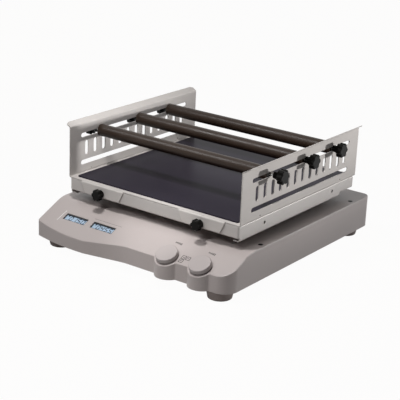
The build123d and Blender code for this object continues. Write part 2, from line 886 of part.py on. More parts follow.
def make_drive():
    centre = (0, tray_y)
    motor_bottom = plate_top + motor_mount_thickness
    motor_top = motor_bottom + motor_height
    crank_top = crank_bottom + crank_thickness
    yoke_bottom = carriage_bottom - yoke_thickness
    roller_bottom = yoke_bottom + (yoke_thickness - roller_height) / 2

    with BuildPart() as motor_mount:
        with BuildSketch(Plane.XY.offset(plate_top)):
            with Locations(centre):
                RectangleRounded(motor_mount_width, motor_mount_width, tray_corner_radius)
        extrude(amount=motor_mount_thickness)
    keep("motor_mount", motor_mount)

    with BuildPart() as motor:
        with BuildSketch(Plane.XY.offset(motor_bottom)):
            with Locations(centre):
                Circle(motor_radius)
        extrude(amount=motor_height)
        fillet(motor.edges().group_by(Axis.Z)[-1], motor_edge_radius)
        with BuildSketch(Plane.XY.offset(motor_top)):
            with Locations(centre):
                Circle(motor_shaft_radius + running_gap)
        extrude(amount=-motor_height + tray_sheet, mode=Mode.SUBTRACT)
    keep("motor", motor)

    with BuildPart() as motor_shaft:
        with BuildSketch(Plane.XY.offset(motor_bottom + 2 * tray_sheet)):
            with Locations(centre):
                Circle(motor_shaft_radius)
        extrude(amount=crank_top - tray_sheet - motor_bottom - 2 * tray_sheet)
    keep("motor_shaft", motor_shaft)

    pin_place = (0, tray_y + crank_throw)
    with BuildPart() as crank:
        with BuildSketch(Plane.XY.offset(crank_bottom)):
            with Locations(centre):
                Circle(crank_radius)
                with PolarLocations(balance_circle_radius, 3, 45, 90, endpoint=True):
                    Circle(balance_hole_radius, mode=Mode.SUBTRACT)
        extrude(amount=crank_thickness)
        with BuildSketch(Plane.XY.offset(crank_bottom)):
            with Locations(centre):
                Circle(motor_shaft_radius + fixed_gap)
        extrude(amount=crank_thickness - tray_sheet, mode=Mode.SUBTRACT)
        with BuildSketch(Plane.XY.offset(crank_top)):
            with Locations(pin_place):
                Circle(crank_pin_radius + tray_sheet)
        extrude(amount=roller_bottom - crank_top)
        with BuildSketch(Plane.XY.offset(crank_top)):
            with Locations(pin_place):
                Circle(crank_pin_radius)
        extrude(amount=carriage_bottom - crank_top)
    keep("crank", crank)

    with BuildPart() as crank_roller:
        with BuildSketch(Plane.XY.offset(roller_bottom)):
            with Locations(pin_place):
                Circle(roller_radius)
                Circle(crank_pin_radius + fixed_gap, mode=Mode.SUBTRACT)
        extrude(amount=roller_height)
    keep("crank_roller", crank_roller)


def make_control_panel():
    board_middle = -(display_board_low + display_board_high) / 2
    for label, x in zip(("speed", "time"), window_x):
        with BuildPart() as display:
            with BuildSketch(panel.offset(board_face)):
                with Locations((x, -window_drop)):
                    Rectangle(display_length, display_width)
            extrude(amount=display_thickness)
        keep(f"{label}_display", display)

    for label, x in zip(("speed", "time"), knob_x):
        spot = (x, -knob_drop)
        body_top = -(housing_wall + encoder_gap)
        with BuildPart() as encoder:
            with BuildSketch(panel.offset(board_face)):
                with Locations(spot):
                    Rectangle(encoder_size, encoder_size)
            extrude(amount=body_top - board_face)
            with BuildSketch(panel.offset(body_top)):
                with Locations(spot):
                    Circle(encoder_bush_radius)
            extrude(amount=encoder_bush_rise - body_top)
            with BuildSketch(panel.offset(encoder_bush_rise)):
                with Locations(spot):
                    Circle(knob_shaft_radius + running_gap)
            extrude(amount=board_face + tray_sheet - encoder_bush_rise, mode=Mode.SUBTRACT)
        keep(f"{label}_encoder", encoder)

        shaft_bottom = board_face + tray_sheet + touch_gap
        shaft_top = control_knob_gap + control_knob_height - control_knob_wall
        with BuildPart() as knob_shaft:
            with BuildSketch(panel.offset(shaft_bottom)):
                with Locations(spot):
                    Circle(knob_shaft_radius)
            extrude(amount=shaft_top - shaft_bottom)
        keep(f"{label}_knob_shaft", knob_shaft)

        knob_axis = Axis(panel.from_local_coords((x, -knob_drop, 0)), panel.z_dir)
        with BuildPart() as knob:
            with BuildSketch(panel.offset(control_knob_gap)):
                with Locations(spot):
                    Circle(control_knob_radius)
            extrude(amount=control_knob_height, taper=control_knob_taper)
            fillet(knob.faces().sort_by(knob_axis)[-1].edges(), control_knob_edge)
            with BuildSketch(panel.offset(control_knob_gap)):
                with Locations(spot):
                    Circle(control_knob_radius - control_knob_wall)
                    Circle(control_knob_hub_radius, mode=Mode.SUBTRACT)
            extrude(amount=control_knob_height - control_knob_wall, mode=Mode.SUBTRACT)
            with BuildSketch(panel.offset(control_knob_gap)):
                with Locations(spot):
                    Circle(knob_shaft_radius + fixed_gap)
            extrude(amount=control_knob_height - control_knob_wall, mode=Mode.SUBTRACT)
        keep(f"{label}_knob", knob)

    with BuildPart() as display_board:
        with BuildSketch(panel.offset(board_face)):
            with Locations(((display_board_left + display_board_right) / 2, board_middle)):
                Rectangle(display_board_right - display_board_left, display_board_low - display_board_high)
        extrude(amount=-board_thickness)
    keep("display_board", display_board)


def board_corners(centre, size):
    """Places of the four stand-offs under a circuit board."""
    reach_x = size[0] / 2 - board_standoff_inset
    reach_y = size[1] / 2 - board_standoff_inset
    return [(centre[0] + x, centre[1] + y) for x in (-reach_x, reach_x) for y in (-reach_y, reach_y)]


def make_electronics():
    board_bottom = plate_top + board_standoff_height
    with BuildPart() as board_standoffs:
        with BuildSketch(Plane.XY.offset(plate_top)):
            with Locations(*board_corners(control_board_centre, control_board_size)):
                Circle(standoff_radius)
            with Locations(*board_corners(power_board_centre, power_board_size)):
                Circle(standoff_radius)
        extrude(amount=board_standoff_height)
        with BuildSketch(panel.offset(board_face)):
            with Locations(*[(x, -panel_standoff_drop) for x in panel_standoff_x]):
                Circle(standoff_radius)
        extrude(amount=-housing_wall - board_face)
    keep("board_standoffs", board_standoffs)

    for label, centre, size, blocks in (
        ("control_board", control_board_centre, control_board_size, control_board_blocks),
        ("power_board", power_board_centre, power_board_size, power_board_blocks),
    ):
        with BuildPart() as board:
            with BuildSketch(Plane.XY.offset(board_bottom)):
                with Locations(centre):
                    Rectangle(*size)
            extrude(amount=board_thickness)
            for x, y, length, width, height in blocks:
                with BuildSketch(Plane.XY.offset(board_bottom + board_thickness)):
                    with Locations((centre[0] + x, centre[1] + y)):
                        Rectangle(length, width)
                extrude(amount=height)
        keep(label, board)


def make_rear_connections():
    inlet_spot = (inlet_x, pocket_centre_z)
    face_y = pocket_floor_y + inlet_flange_thickness
    with BuildPart() as power_inlet:
        with BuildSketch(Plane.XZ.offset(-face_y)):
            with Locations(inlet_spot):
                Rectangle(*inlet_flange)
        extrude(amount=inlet_flange_thickness)
        with BuildSketch(Plane.XZ.offset(-face_y)):
            with Locations(inlet_spot):
                Rectangle(*inlet_body)
        extrude(amount=inlet_length)
        with BuildSketch(Plane.XZ.offset(-face_y)):
            with Locations(inlet_spot):
                Rectangle(*inlet_socket)
        extrude(amount=inlet_socket_depth, mode=Mode.SUBTRACT)
        with BuildSketch(Plane.XZ.offset(-(face_y - inlet_socket_depth))):
            with Locations(inlet_spot):
                with Locations(*[(x, y) for x, y in inlet_pin_spots]):
                    Rectangle(*inlet_pin)
        extrude(amount=-inlet_pin_length)
    keep("power_inlet", power_inlet)

    switch_spot = (switch_x, pocket_centre_z)
    with BuildPart() as switch_frame:
        with BuildSketch(Plane.XZ.offset(-face_y)):
            with Locations(switch_spot):
                Rectangle(*switch_flange)
        extrude(amount=inlet_flange_thickness)
        with BuildSketch(Plane.XZ.offset(-face_y)):
            with Locations(switch_spot):
                Rectangle(*switch_body)
        extrude(amount=switch_length)
        with BuildSketch(Plane.XZ.offset(-face_y)):
            with Locations(switch_spot):
                Rectangle(*switch_opening)
        extrude(amount=switch_length - inlet_flange_thickness, mode=Mode.SUBTRACT)
        with BuildSketch(Plane.YZ.offset(switch_x)):
            with Locations((pivot_y, pocket_centre_z)):
                Circle(rocker_pin_radius + running_gap)
        extrude(amount=rocker_pin_half_length + touch_gap, both=True, mode=Mode.SUBTRACT)
    keep("switch_frame", switch_frame)

    tilt = math.radians(rocker_tilt)
    rocker_plane = Plane(
        origin=(switch_x, pivot_y, pocket_centre_z),
        x_dir=(0, math.cos(tilt), -math.sin(tilt)),
        z_dir=(1, 0, 0),
    )
    with BuildPart() as power_rocker:
        with BuildSketch(rocker_plane):
            with BuildLine():
                Polyline(
                    (-rocker_depth, -rocker_half_height),
                    (rocker_end_rise, -rocker_half_height),
                    (rocker_middle_rise, 0),
                    (rocker_end_rise, rocker_half_height),
                    (-rocker_depth, rocker_half_height),
                    close=True,
                )
            make_face()
        extrude(amount=rocker_width / 2, both=True)
        with BuildSketch(rocker_plane):
            Circle(rocker_pin_radius)
        extrude(amount=rocker_pin_half_length, both=True)
    keep("power_rocker", power_rocker)


make_housing()
make_bottom()
make_guides()
make_carriage()
make_tray()
make_attachment()
make_bars()
make_thumb_screws()
make_drive()
make_control_panel()
make_electronics()
make_rear_connections()

for name, piece in pieces.items():
    export_step(piece, f"parts/{name}.step")
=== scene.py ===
import json
import math

import bmesh
import bpy
from mathutils import Matrix, Vector


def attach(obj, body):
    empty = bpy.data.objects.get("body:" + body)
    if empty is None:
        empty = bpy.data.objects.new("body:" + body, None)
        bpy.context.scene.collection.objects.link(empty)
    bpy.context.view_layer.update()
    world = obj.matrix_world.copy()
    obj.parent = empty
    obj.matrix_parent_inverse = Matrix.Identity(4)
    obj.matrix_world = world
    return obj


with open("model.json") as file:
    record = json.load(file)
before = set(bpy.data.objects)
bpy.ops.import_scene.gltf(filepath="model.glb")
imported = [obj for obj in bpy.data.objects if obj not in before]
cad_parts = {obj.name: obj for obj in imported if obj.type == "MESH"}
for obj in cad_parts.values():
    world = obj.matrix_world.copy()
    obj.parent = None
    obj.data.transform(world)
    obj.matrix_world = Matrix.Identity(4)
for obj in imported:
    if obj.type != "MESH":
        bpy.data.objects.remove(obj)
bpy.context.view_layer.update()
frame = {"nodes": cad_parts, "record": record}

MM = 0.001

# Sizes of the solids that the dressing pieces follow, lengths in millimetres
PANEL_ANGLE = math.radians(25.0)
DECK_HEIGHT = 67.5
DECK_FRONT_Y = -131.0
ROLL_RADIUS = 60.0
PANEL_TOP_Y = DECK_FRONT_Y - ROLL_RADIUS * math.sin(PANEL_ANGLE)
PANEL_TOP_Z = DECK_HEIGHT - ROLL_RADIUS * (1.0 - math.cos(PANEL_ANGLE))
WINDOW_X = {"speed": -125.5, "time": -68.5}
WINDOW_DROP = 25.0
WINDOW_LENGTH = 45.0
WINDOW_HEIGHT = 14.0
KNOB_X = {"speed": 71.0, "time": 133.0}
SWITCH_X = 125.0
ROCKER_PIVOT_Y = 201.0
ROCKER_PIVOT_Z = 40.0
ROCKER_TILT = math.radians(8.0)
ROCKER_HALF_HEIGHT = 8.0
ROCKER_MIDDLE_RISE = 5.0
ROCKER_END_RISE = 6.1

# The bench and the light that fills the shade
BENCH_REACH = 9.0
BENCH_LEVEL = -0.0002
BENCH_COLOUR = (0.42, 0.41, 0.405, 1.0)
BENCH_GLOW = (1.0, 0.997, 0.994, 1.0)
BENCH_GLOW_SHARE = 0.972
SHADE_FILL = (0.93, 0.95, 1.0, 1.0)
SHADE_FILL_STRENGTH = 0.05
WHITE = (1.0, 1.0, 1.0, 1.0)

# Features per metre in the shared surface effects
CLOUDS_PER_METRE = 9.0
SHEET_CLOUDS_PER_METRE = 7.0
EDGE_BREAKS_PER_METRE = 160.0
DUST_PATCHES_PER_METRE = 26.0

# How strongly each part of an effect shows
CLOUD_LIGHTNESS = 2.0
SPECK_LIGHTNESS = 0.6
CLOUD_GLOSS = 1.6
STREAK_GLOSS = 1.4
EDGE_SHARPNESS = 7.0
EDGE_BREAK_CONTRAST = 1.2
EDGE_BREAK_LEVEL = 0.2
UPWARD_CONTRAST = 1.6
UPWARD_LEVEL = -0.6
DUST_CONTRAST = 2.2
DUST_LEVEL = -0.7
DUST_GLOSS_LOSS = 0.3
COAT_ROUGHNESS = 0.12
# Edges are painted this much lighter by default: a painted highlight along every edge, partly standing for
# wear
PAINTED_EDGE_LIGHTNESS = 1.35

# The displays, in millimetres; heights are above the panel's face
READINGS = {"speed": "0150", "time": "0455"}
BEZEL_CLEARANCE = 0.2
BEZEL_CORNER = 0.7
BEZEL_FRAME_LENGTH = 2.6
BEZEL_FRAME_HEIGHT = 3.2
# The opening sits lower and to the right, so the black frame is wider at the top and left: painted shade of
# the recess
OPENING_SHIFT_FOR_PAINTED_SHADE = (0.3, -0.7)
BEZEL_BOTTOM = -3.1
BEZEL_TOP = -0.35
FACE_MARGIN = 1.4
INNER_CORNER = 0.5
CORNER_STEPS = 5
FACE_BOTTOM = -3.0
FACE_TOP = -2.0
SEGMENT_BOTTOM = -2.05
SEGMENT_TOP = -1.93
SEGMENT_WIDTH = 1.3
SEGMENT_GAP = 0.12
DIGIT_WIDTH = 4.9
DIGIT_HEIGHT = 8.2
DIGIT_PITCH = 8.2
DIGIT_SLANT = 0.12
DIGIT_MIDDLE_Y = -0.4
FIRST_DIGIT_X = -12.6
ARROW = ((-19.2, 4.6), (-17.0, 1.4), (-14.8, 4.6))
UNIT_DASH_X = (16.9, 18.6)
UNIT_DASH_WIDTH = 0.9
UNIT_DASH_LOW = -5.0
UNIT_DASH_HIGH = -3.6

# The marks, in millimetres across the panel and up from its upper edge. The place of a box is the middle
# of its top side, and each tick reaches a little lower than the one before it.
PRINT_BOTTOM = -0.02
PRINT_TOP = 0.06
PALE_LINE = ((-153.3, -13.6), (-155.2, -37.5))
PALE_LINE_WIDTH = 1.0
DARK_LINE = ((-94.5, -12.4), (-39.0, -12.4))
DARK_LINE_WIDTH = 0.35
TICKS = 6
TICK_WIDTH = 1.2
TICK_PITCH = 2.2
FIRST_TICK = -6.0
TICK_TOP = -7.2
TICK_FOOT = -10.0
TICK_GROWTH = 0.3
BOX_PLACES = ((96.0, -28.4), (104.2, -28.4), (96.0, -36.2))
BOX_SIDE = 6.4
BOX_LINE_WIDTH = 0.9
BOX_DASH_LENGTH = 2.8
BOX_DASH_WIDTH = 1.0

# The bar and the ring on the rocker, in millimetres
ROCKER_MARK_TOP = 0.05
ROCKER_MARK_REACH = 1.6
ROCKER_RING_HOLE = 1.0
ROCKER_BAR_HALF_WIDTH = 0.35
ROCKER_RING_STEPS = 24


# Camera, lamps, floor and world


def aim(lamp, place, target):
    """Put a lamp at place, shining at target."""
    direction = Vector(target) - Vector(place)
    lamp.location = place
    lamp.rotation_euler = direction.to_track_quat("-Z", "Y").to_euler()


def make_camera():
    """The view that was solved on the photograph's straight edges."""
    azimuth = math.radians(36.073)
    elevation = math.radians(19.380)
    roll = math.radians(2.373)
    place = (1.1123, -1.5454, 0.7370)
    forward = Vector((
        -math.sin(azimuth) * math.cos(elevation),
        math.cos(azimuth) * math.cos(elevation),
        -math.sin(elevation),
    ))
    level_right = Vector((math.cos(azimuth), math.sin(azimuth), 0.0))
    level_up = level_right.cross(forward)
    right = math.cos(roll) * level_right + math.sin(roll) * level_up
    up = -math.sin(roll) * level_right + math.cos(roll) * level_up
    data = bpy.data.cameras.new("photo_camera")
    data.lens = 110.98
    data.sensor_width = 36.0
    data.sensor_fit = "HORIZONTAL"
    data.clip_start = 0.05
    data.clip_end = 50.0
    camera = bpy.data.objects.new("photo_camera", data)
    bpy.context.scene.collection.objects.link(camera)
    turn = Matrix((right, up, -forward)).transposed().to_4x4()
    camera.matrix_world = Matrix.Translation(place) @ turn
    bpy.context.scene.camera = camera


def make_softbox(name, place, target, side, watts):
    """A square lamp; side is in metres."""
    data = bpy.data.lights.new(name, "AREA")
    data.shape = "SQUARE"
    data.size = side
    data.energy = watts
    lamp = bpy.data.objects.new(name, data)
    bpy.context.scene.collection.objects.link(lamp)
    aim(lamp, place, target)


def make_spot(name, place, target, cone, fade, radius, watts):
    """A small lamp in a tube; cone is in degrees, fade is the share of the cone that fades out."""
    data = bpy.data.lights.new(name, "SPOT")
    data.spot_size = math.radians(cone)
    data.spot_blend = fade
    data.shadow_soft_size = radius
    data.energy = watts
    lamp = bpy.data.objects.new(name, data)
    bpy.context.scene.collection.objects.link(lamp)
    aim(lamp, place, target)


def make_lamps():
    """Soft light from above, front and rear, and narrow lamps for the panel, the bars and the right side."""
    housing_front = (0.0, -0.12, 0.06)
    make_softbox(
        "overhead_softbox", place=(0.0, -0.36, 0.86), target=housing_front, side=0.10, watts=4.4,
    )
    make_softbox(
        "front_softbox", place=(0.0, -1.05, 1.00), target=housing_front, side=0.30, watts=3.8,
    )
    make_spot(
        "panel_spot", place=(0.03, -0.52, 0.80), target=(0.025, -0.163, 0.066),
        cone=13.0, fade=1.0, radius=0.02, watts=7.2,
    )
    make_spot(
        "bar_spot", place=(-0.50, -0.42, 0.84), target=(0.06, 0.02, 0.15),
        cone=22.0, fade=1.0, radius=0.15, watts=26.0,
    )
    make_softbox(
        "rear_softbox", place=(0.9, 2.0, 0.8), target=(0.0, 0.1, 0.08), side=0.40, watts=5.0,
    )
    rear_side = (3.0, 2.83, 0.14)
    make_spot(
        "rear_side_spot", place=rear_side, target=(0.168, 0.0, 0.66),
        cone=17.0, fade=0.12, radius=0.06, watts=330.0,
    )
    make_spot(
        "rear_side_fill", place=rear_side, target=(0.168, 0.0, 0.10),
        cone=12.0, fade=0.12, radius=0.06, watts=125.0,
    )


def feed(tree, value, socket):
    """Set a socket to a number or a colour, or link another socket to it."""
    if isinstance(value, (int, float, tuple)):
        socket.default_value = value
    else:
        tree.links.new(value, socket)


def math_node(tree, operation, first, second, third=None, clamp=False):
    """A Math node; each argument is a socket or a number. Returns its output."""
    node = tree.nodes.new("ShaderNodeMath")
    node.operation = operation
    node.use_clamp = clamp
    for socket, value in zip(node.inputs, (first, second, third)):
        if value is not None:
            feed(tree, value, socket)
    return node.outputs[0]


def background_rays(tree):
    """1 for the rays that show the background: from the camera, off a gloss or through glass."""
    path = tree.nodes.new("ShaderNodeLightPath")
    seen = math_node(tree, "MAXIMUM", path.outputs["Is Camera Ray"], path.outputs["Is Glossy Ray"])
    return math_node(tree, "MAXIMUM", seen, path.outputs["Is Transmission Ray"])


def make_world():
    """White where the background shows, and a weak cool fill for the light on the object."""
    world = bpy.data.worlds.new("studio")
    bpy.context.scene.world = world
    world.use_nodes = True
    tree = world.node_tree
    tree.nodes.clear()
    output = tree.nodes.new("ShaderNodeOutputWorld")
    mix = tree.nodes.new("ShaderNodeMixShader")
    fill = tree.nodes.new("ShaderNodeBackground")
    fill.inputs["Color"].default_value = SHADE_FILL
    fill.inputs["Strength"].default_value = SHADE_FILL_STRENGTH
    white = tree.nodes.new("ShaderNodeBackground")
    white.inputs["Color"].default_value = WHITE
    white.inputs["Strength"].default_value = 1.0
    tree.links.new(background_rays(tree), mix.inputs["Fac"])
    tree.links.new(fill.outputs[0], mix.inputs[1])
    tree.links.new(white.outputs[0], mix.inputs[2])
    tree.links.new(mix.outputs[0], output.inputs["Surface"])


def make_floor():
    """A matt bench top, nearly white to the camera. It lies just under the feet, clear of their soles."""
    mesh = bpy.data.meshes.new("bench_top")
    signs = ((-1, -1), (1, -1), (1, 1), (-1, 1))
    corners = [(x * BENCH_REACH, y * BENCH_REACH, BENCH_LEVEL) for x, y in signs]
    mesh.from_pydata(corners, [], [(0, 1, 2, 3)])
    floor = bpy.data.objects.new("bench_top", mesh)
    bpy.context.scene.collection.objects.link(floor)
    material = bpy.data.materials.new("bench_white")
    material.use_nodes = True
    tree = material.node_tree
    tree.nodes.clear()
    output = tree.nodes.new("ShaderNodeOutputMaterial")
    matt = tree.nodes.new("ShaderNodeBsdfDiffuse")
    matt.inputs["Color"].default_value = BENCH_COLOUR
    glow = tree.nodes.new("ShaderNodeEmission")
    glow.inputs["Color"].default_value = BENCH_GLOW
    glow.inputs["Strength"].default_value = 1.0
    mix = tree.nodes.new("ShaderNodeMixShader")
    share = math_node(tree, "MULTIPLY", background_rays(tree), BENCH_GLOW_SHARE)
    tree.links.new(share, mix.inputs["Fac"])
    tree.links.new(matt.outputs[0], mix.inputs[1])
    tree.links.new(glow.outputs[0], mix.inputs[2])
    tree.links.new(mix.outputs[0], output.inputs["Surface"])
    mesh.materials.append(material)


# Shader node groups, each an effect that several finishes share


def new_group(name, inputs, outputs):
    """A shader node group with named sockets; returns the tree, its inputs and its outputs."""
    tree = bpy.data.node_groups.new(name, "ShaderNodeTree")
    for label, kind, value in inputs:
        socket = tree.interface.new_socket(label, in_out="INPUT", socket_type=kind)
        socket.default_value = value
    for label, kind in outputs:
        tree.interface.new_socket(label, in_out="OUTPUT", socket_type=kind)
    entry = tree.nodes.new("NodeGroupInput")
    leave = tree.nodes.new("NodeGroupOutput")
    return tree, entry.outputs, leave.inputs


def mix_colours(tree, share, first, second):
    """A colour Mix node; each colour is a socket or a tuple. Returns its output."""
    node = tree.nodes.new("ShaderNodeMix")
    node.data_type = "RGBA"
    tree.links.new(share, node.inputs["Factor"])
    for label, value in (("A", first), ("B", second)):
        socket = next(entry for entry in node.inputs if entry.name == label and entry.type == "RGBA")
        feed(tree, value, socket)
    return next(result for result in node.outputs if result.type == "RGBA")


def noise(tree, vector, scale, detail, roughness):
    """A Noise Texture; scale is a socket or a number. Returns its factor."""
    node = tree.nodes.new("ShaderNodeTexNoise")
    node.inputs["Detail"].default_value = detail
    node.inputs["Roughness"].default_value = roughness
    tree.links.new(vector, node.inputs["Vector"])
    feed(tree, scale, node.inputs["Scale"])
    return node.outputs["Fac"]


def swing(tree, factor, amount):
    """A noise factor turned into a swing about zero, amount wide."""
    centred = math_node(tree, "SUBTRACT", factor, 0.5)
    return math_node(tree, "MULTIPLY", centred, amount)


def shade(tree, colour, lightness):
    """A colour times a lightness; returns the output."""
    node = tree.nodes.new("ShaderNodeVectorMath")
    node.operation = "SCALE"
    tree.links.new(colour, node.inputs[0])
    tree.links.new(lightness, node.inputs["Scale"])
    return node.outputs[0]


def make_moulded_grain():
    """Cast or moulded surface: faint cloudiness in colour and gloss over a fine even grain."""
    tree, given, result = new_group(
        "moulded_grain",
        [
            ("Colour", "NodeSocketColor", (0.5, 0.5, 0.5, 1.0)),
            ("Cloudiness", "NodeSocketFloat", 0.05),
            ("Roughness", "NodeSocketFloat", 0.5),
            ("Grain Per Metre", "NodeSocketFloat", 1500.0),
        ],
        [("Colour", "NodeSocketColor"), ("Roughness", "NodeSocketFloat"), ("Height", "NodeSocketFloat")],
    )
    place = tree.nodes.new("ShaderNodeTexCoord").outputs["Object"]
    clouds = noise(tree, place, CLOUDS_PER_METRE, detail=4.0, roughness=0.6)
    specks = noise(tree, place, given["Grain Per Metre"], detail=2.0, roughness=0.5)
    cloud_swing = swing(tree, clouds, given["Cloudiness"])
    speck_swing = swing(tree, specks, given["Cloudiness"])
    lightness = math_node(tree, "MULTIPLY_ADD", speck_swing, SPECK_LIGHTNESS, 1.0)
    lightness = math_node(tree, "MULTIPLY_ADD", cloud_swing, CLOUD_LIGHTNESS, lightness)
    tree.links.new(shade(tree, given["Colour"], lightness), result["Colour"])
    gloss = math_node(tree, "MULTIPLY_ADD", cloud_swing, CLOUD_GLOSS, given["Roughness"])
    tree.links.new(gloss, result["Roughness"])
    tree.links.new(specks, result["Height"])
    return tree


def make_sheet_brushing():
    """Brushed metal: fine streaks, long along one axis, in colour, gloss and height."""
    tree, given, result = new_group(
        "sheet_brushing",
        [
            ("Colour", "NodeSocketColor", (0.6, 0.6, 0.6, 1.0)),
            ("Streak", "NodeSocketFloat", 0.12),
            ("Roughness", "NodeSocketFloat", 0.3),
            ("Streaks", "NodeSocketVector", (900.0, 12.0, 900.0)),
        ],
        [("Colour", "NodeSocketColor"), ("Roughness", "NodeSocketFloat"), ("Height", "NodeSocketFloat")],
    )
    place = tree.nodes.new("ShaderNodeTexCoord").outputs["Object"]
    stretch = tree.nodes.new("ShaderNodeVectorMath")
    stretch.operation = "MULTIPLY"
    tree.links.new(place, stretch.inputs[0])
    tree.links.new(given["Streaks"], stretch.inputs[1])
    lines = noise(tree, stretch.outputs[0], 1.0, detail=3.0, roughness=0.65)
    clouds = noise(tree, place, SHEET_CLOUDS_PER_METRE, detail=3.0, roughness=0.6)
    line_swing = swing(tree, lines, given["Streak"])
    cloud_swing = swing(tree, clouds, given["Streak"])
    lightness = math_node(tree, "ADD", line_swing, 1.0)
    lightness = math_node(tree, "ADD", lightness, cloud_swing)
    tree.links.new(shade(tree, given["Colour"], lightness), result["Colour"])
    gloss = math_node(tree, "MULTIPLY_ADD", line_swing, STREAK_GLOSS, given["Roughness"])
    gloss = math_node(tree, "ADD", gloss, cloud_swing, clamp=True)
    tree.links.new(gloss, result["Roughness"])
    tree.links.new(lines, result["Height"])
    return tree


def make_edge_light_and_wear():
    """Edges: a rounded normal for a soft highlight, and a mask that is broken up along the edge. Through the
    mask the finishes paint their edges lighter or darker: a painted highlight or painted shade, partly
    standing for wear.
    """
    tree, given, result = new_group(
        "edge_light_and_wear",
        [("Radius", "NodeSocketFloat", 0.0006), ("Strength", "NodeSocketFloat", 1.0)],
        [("Mask", "NodeSocketFloat"), ("Normal", "NodeSocketVector")],
    )
    bevel = tree.nodes.new("ShaderNodeBevel")
    bevel.samples = 4
    tree.links.new(given["Radius"], bevel.inputs["Radius"])
    geometry = tree.nodes.new("ShaderNodeNewGeometry")
    likeness = tree.nodes.new("ShaderNodeVectorMath")
    likeness.operation = "DOT_PRODUCT"
    tree.links.new(bevel.outputs["Normal"], likeness.inputs[0])
    tree.links.new(geometry.outputs["Normal"], likeness.inputs[1])
    turned = math_node(tree, "SUBTRACT", 1.0, likeness.outputs["Value"])
    turned = math_node(tree, "MULTIPLY", turned, EDGE_SHARPNESS, clamp=True)
    place = tree.nodes.new("ShaderNodeTexCoord").outputs["Object"]
    breaks = noise(tree, place, EDGE_BREAKS_PER_METRE, detail=3.0, roughness=0.6)
    breaks = math_node(tree, "MULTIPLY_ADD", breaks, EDGE_BREAK_CONTRAST, EDGE_BREAK_LEVEL, clamp=True)
    mask = math_node(tree, "MULTIPLY", turned, breaks)
    mask = math_node(tree, "MULTIPLY", mask, given["Strength"], clamp=True)
    tree.links.new(mask, result["Mask"])
    tree.links.new(bevel.outputs["Normal"], result["Normal"])
    return tree


def make_settled_dust():
    """A thin uneven film on what faces up."""
    tree, given, result = new_group(
        "settled_dust",
        [("Amount", "NodeSocketFloat", 0.2)],
        [("Mask", "NodeSocketFloat")],
    )
    geometry = tree.nodes.new("ShaderNodeNewGeometry")
    split = tree.nodes.new("ShaderNodeSeparateXYZ")
    tree.links.new(geometry.outputs["Normal"], split.inputs[0])
    rise = split.outputs["Z"]
    upward = math_node(tree, "MULTIPLY_ADD", rise, UPWARD_CONTRAST, UPWARD_LEVEL, clamp=True)
    place = tree.nodes.new("ShaderNodeTexCoord").outputs["Object"]
    patches = noise(tree, place, DUST_PATCHES_PER_METRE, detail=5.0, roughness=0.7)
    patches = math_node(tree, "MULTIPLY_ADD", patches, DUST_CONTRAST, DUST_LEVEL, clamp=True)
    mask = math_node(tree, "MULTIPLY", upward, patches)
    mask = math_node(tree, "MULTIPLY", mask, given["Amount"], clamp=True)
    tree.links.new(mask, result["Mask"])
    return tree


GROUPS = {
    "grain": make_moulded_grain(),
    "brushing": make_sheet_brushing(),
    "edges": make_edge_light_and_wear(),
    "dust": make_settled_dust(),
}


# Finishes


def place_group(tree, name, **values):
    """Put a shared effect into a material with its own values; returns its outputs."""
    node = tree.nodes.new("ShaderNodeGroup")
    node.node_tree = GROUPS[name]
    for label, value in values.items():
        node.inputs[label.replace("_", " ")].default_value = value
    return node.outputs


def make_finish(name, colour, surface, roughness, metallic=0.0, specular=0.5, coat=0.0, depth=0.00002,
                radius=0.0005, edge=0.25, painted_edge_colour=None, dust=0.0, dust_colour=(0.55, 0.53, 0.50, 1.0),
                **texture):
    """
    A Principled material: a surface effect, edges painted lighter or darker (painted highlight or painted
    shade, partly wear) and dust, then a bump on the rounded normal.
    The depth of the bump and the radius of the edges are in metres.
    """
    material = bpy.data.materials.new(name)
    material.use_nodes = True
    tree = material.node_tree
    tree.nodes.clear()
    output = tree.nodes.new("ShaderNodeOutputMaterial")
    shader = tree.nodes.new("ShaderNodeBsdfPrincipled")
    tree.links.new(shader.outputs[0], output.inputs["Surface"])
    shader.inputs["Metallic"].default_value = metallic
    shader.inputs["Specular IOR Level"].default_value = specular
    shader.inputs["Coat Weight"].default_value = coat
    shader.inputs["Coat Roughness"].default_value = COAT_ROUGHNESS
    skin = place_group(tree, surface, Colour=colour, Roughness=roughness, **texture)
    edges = place_group(tree, "edges", Radius=radius, Strength=edge)
    # By default every edge is painted lighter, a painted highlight partly standing for wear; a given edge
    # colour paints a highlight or shade there instead
    painted_edge_tone = painted_edge_colour or tuple(min(1.0, PAINTED_EDGE_LIGHTNESS * part) for part in colour[:3]) + (1.0,)
    painted = mix_colours(tree, edges["Mask"], skin["Colour"], painted_edge_tone)
    gloss = skin["Roughness"]
    if dust:
        film = place_group(tree, "dust", Amount=dust)
        painted = mix_colours(tree, film["Mask"], painted, dust_colour)
        gloss = math_node(tree, "MULTIPLY_ADD", film["Mask"], DUST_GLOSS_LOSS, gloss, clamp=True)
    tree.links.new(painted, shader.inputs["Base Color"])
    tree.links.new(gloss, shader.inputs["Roughness"])
    bump = tree.nodes.new("ShaderNodeBump")
    bump.inputs["Strength"].default_value = 1.0
    bump.inputs["Distance"].default_value = depth
    tree.links.new(skin["Height"], bump.inputs["Height"])
    tree.links.new(edges["Normal"], bump.inputs["Normal"])
    tree.links.new(bump.outputs["Normal"], shader.inputs["Normal"])
    return material


